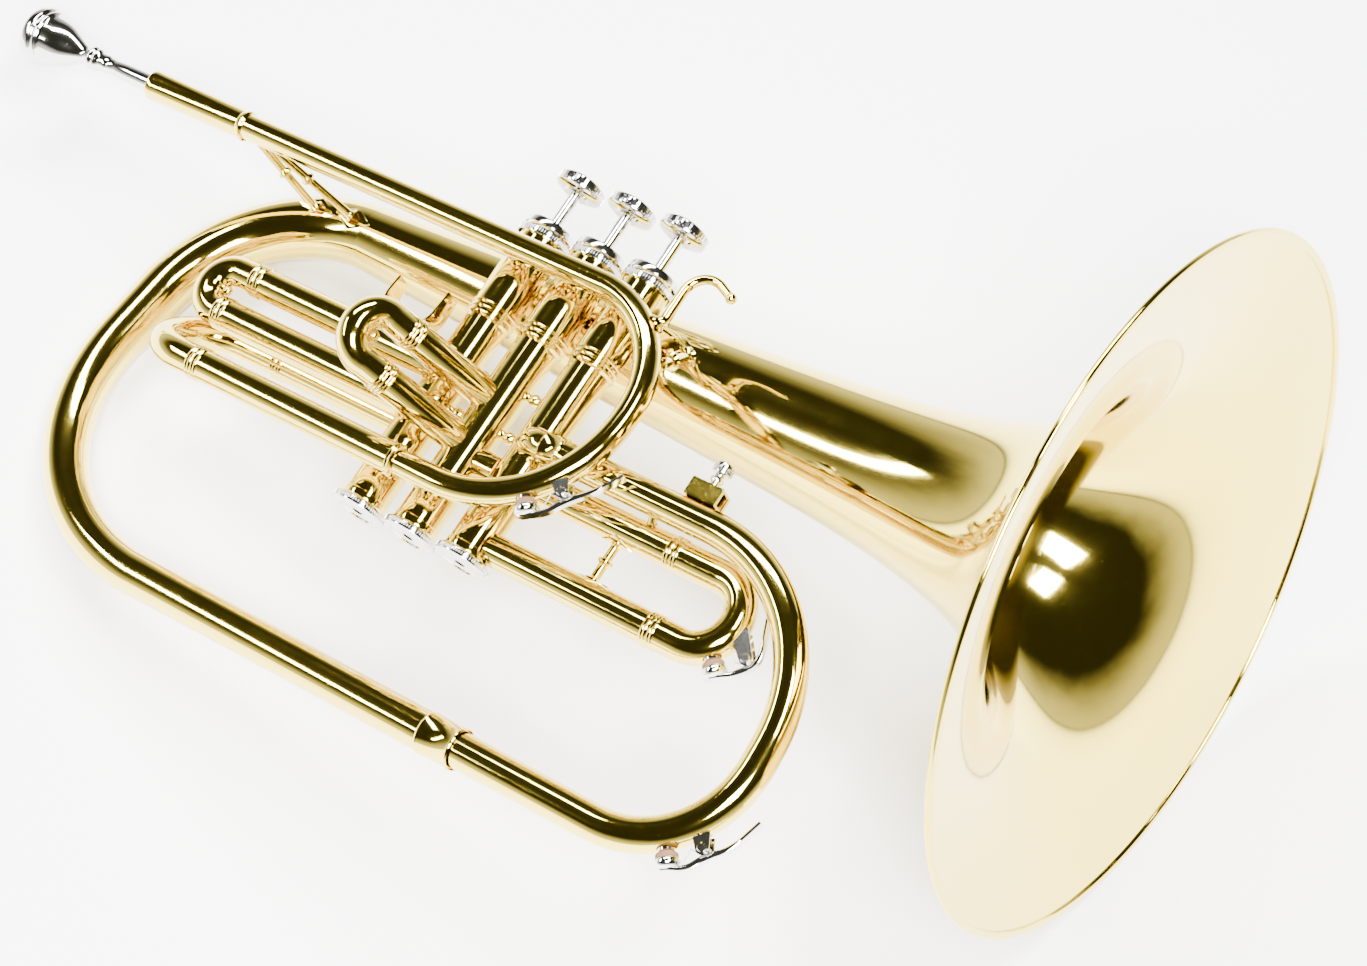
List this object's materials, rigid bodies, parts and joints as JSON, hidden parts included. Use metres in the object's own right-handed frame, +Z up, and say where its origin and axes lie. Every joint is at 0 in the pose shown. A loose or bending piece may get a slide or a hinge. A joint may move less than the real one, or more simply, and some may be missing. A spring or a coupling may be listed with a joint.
{
  "type": "marching mellophone",
  "caption": "Bell-front marching brass horn with piston valves, tuning slides, water keys and a mouthpiece, lying on its left side.",
  "frame": {"origin": "centre of the bounding box at its base, the plane the horn rests on", "axes": "+X from the mouthpiece towards the mouth of the bell, level; +Z up from the table; +Y level, roughly the way the finger buttons point"},
  "size_m": [0.5764, 0.33, 0.2691],
  "materials": {
    "lacquered_brass": "polished, clear lacquer",
    "silver_plate": "polished plate",
    "nickel_silver": "polished",
    "spring_steel": "drawn wire",
    "felt": "felt",
    "cork": "cork"
  },
  "bodies": {
    "horn": {"mouthpiece_receiver": "lacquered_brass", "leadpipe": "lacquered_brass", "tube_ferrules": "lacquered_brass", "tuning_sleeves": "lacquered_brass", "valve_casing_1": "lacquered_brass", "valve_casing_2": "lacquered_brass", "valve_casing_3": "lacquered_brass", "casing_bridges": "lacquered_brass", "valve_guides": "nickel_silver", "top_caps": "silver_plate", "bottom_caps": "silver_plate", "valve_spring_1": "spring_steel", "valve_spring_2": "spring_steel", "valve_spring_3": "spring_steel", "first_slide_sleeves": "lacquered_brass", "second_slide_sleeves": "lacquered_brass", "third_slide_sleeves": "lacquered_brass", "loop_elbow": "lacquered_brass", "loop_tube": "lacquered_brass", "bell_tail": "lacquered_brass", "bell": "lacquered_brass", "bell_rim": "lacquered_brass", "key_saddles": "nickel_silver", "key_pins": "nickel_silver", "thumb_saddle": "lacquered_brass", "finger_hook": "lacquered_brass", "lyre_socket": "lacquered_brass", "brace_rods": "lacquered_brass"},
    "mouthpiece": {"mouthpiece": "silver_plate"},
    "tuning_slide": {"tuning_bow": "lacquered_brass", "tuning_legs": "nickel_silver"},
    "first_slide": {"first_slide_bow": "lacquered_brass", "first_slide_legs": "nickel_silver"},
    "second_slide": {"second_slide_bow": "lacquered_brass", "second_slide_legs": "nickel_silver"},
    "third_slide": {"third_slide_bow": "lacquered_brass", "third_slide_legs": "nickel_silver", "third_key_saddle": "nickel_silver", "third_key_pin": "nickel_silver"},
    "valve_1": {"piston_1": "nickel_silver", "valve_stem_1": "silver_plate", "finger_button_1": "silver_plate", "valve_felt_1": "felt"},
    "valve_2": {"piston_2": "nickel_silver", "valve_stem_2": "silver_plate", "finger_button_2": "silver_plate", "valve_felt_2": "felt"},
    "valve_3": {"piston_3": "nickel_silver", "valve_stem_3": "silver_plate", "finger_button_3": "silver_plate", "valve_felt_3": "felt"},
    "water_key_1": {"key_lever_1": "nickel_silver", "key_cork_1": "cork"},
    "water_key_2": {"key_lever_2": "nickel_silver", "key_cork_2": "cork"},
    "water_key_3": {"key_lever_3": "nickel_silver", "key_cork_3": "cork"},
    "lyre_screw": {"lyre_screw": "silver_plate"}
  },
  "joints": [
    {"name": "mouthpiece_pull", "type": "slide", "parent": "horn", "child": "mouthpiece", "axis": [-0.9608, 0, -0.2773], "range_m": [0, 0.03]},
    {"name": "tuning_slide_pull", "type": "slide", "parent": "horn", "child": "tuning_slide", "axis": [-0.9608, 0, -0.2773], "range_m": [0, 0.03]},
    {"name": "first_slide_pull", "type": "slide", "parent": "horn", "child": "first_slide", "axis": [-0.9608, 0, -0.2773], "range_m": [0, 0.05]},
    {"name": "second_slide_pull", "type": "slide", "parent": "horn", "child": "second_slide", "axis": [-0.7734, -0.1675, 0.6113], "range_m": [0, 0.02]},
    {"name": "third_slide_pull", "type": "slide", "parent": "horn", "child": "third_slide", "axis": [0.9608, 0, 0.2773], "range_m": [0, 0.008]},
    {"name": "valve_1_press", "type": "slide", "parent": "horn", "child": "valve_1", "axis": [0.0567, -0.9789, -0.1965], "range_m": [0, 0.015], "stiffness_N_per_m": 70, "springref_m": -0.03, "deforming": ["valve_spring_1"]},
    {"name": "valve_2_press", "type": "slide", "parent": "horn", "child": "valve_2", "axis": [0.0567, -0.9789, -0.1965], "range_m": [0, 0.015], "stiffness_N_per_m": 70, "springref_m": -0.03, "deforming": ["valve_spring_2"]},
    {"name": "valve_3_press", "type": "slide", "parent": "horn", "child": "valve_3", "axis": [0.0567, -0.9789, -0.1965], "range_m": [0, 0.015], "stiffness_N_per_m": 70, "springref_m": -0.03, "deforming": ["valve_spring_3"]},
    {"name": "water_key_1_open", "type": "hinge", "parent": "horn", "child": "water_key_1", "pos_m": [0.05231, -0.06418, 0.11806], "axis": [-0.2715, -0.2045, 0.9405], "range_deg": [0, 16], "stiffness_Nm_per_rad": 0.02, "springref_deg": -34.38},
    {"name": "water_key_2_open", "type": "hinge", "parent": "third_slide", "child": "water_key_2", "pos_m": [0.14662, -0.07888, 0.11763], "axis": [-0.2715, -0.2045, 0.9405], "range_deg": [0, 10], "stiffness_Nm_per_rad": 0.02, "springref_deg": -34.38},
    {"name": "water_key_3_open", "type": "hinge", "parent": "horn", "child": "water_key_3", "pos_m": [0.17598, -0.14656, 0.11235], "axis": [-0.2715, -0.2045, 0.9405], "range_deg": [0, 16], "stiffness_Nm_per_rad": 0.02, "springref_deg": -34.38},
    {"name": "lyre_screw_turn", "type": "hinge", "parent": "horn", "child": "lyre_screw", "pos_m": [0.09598, -0.02712, 0.12618], "axis": [-0.0567, 0.9789, 0.1965], "continuous": true}
  ]
}
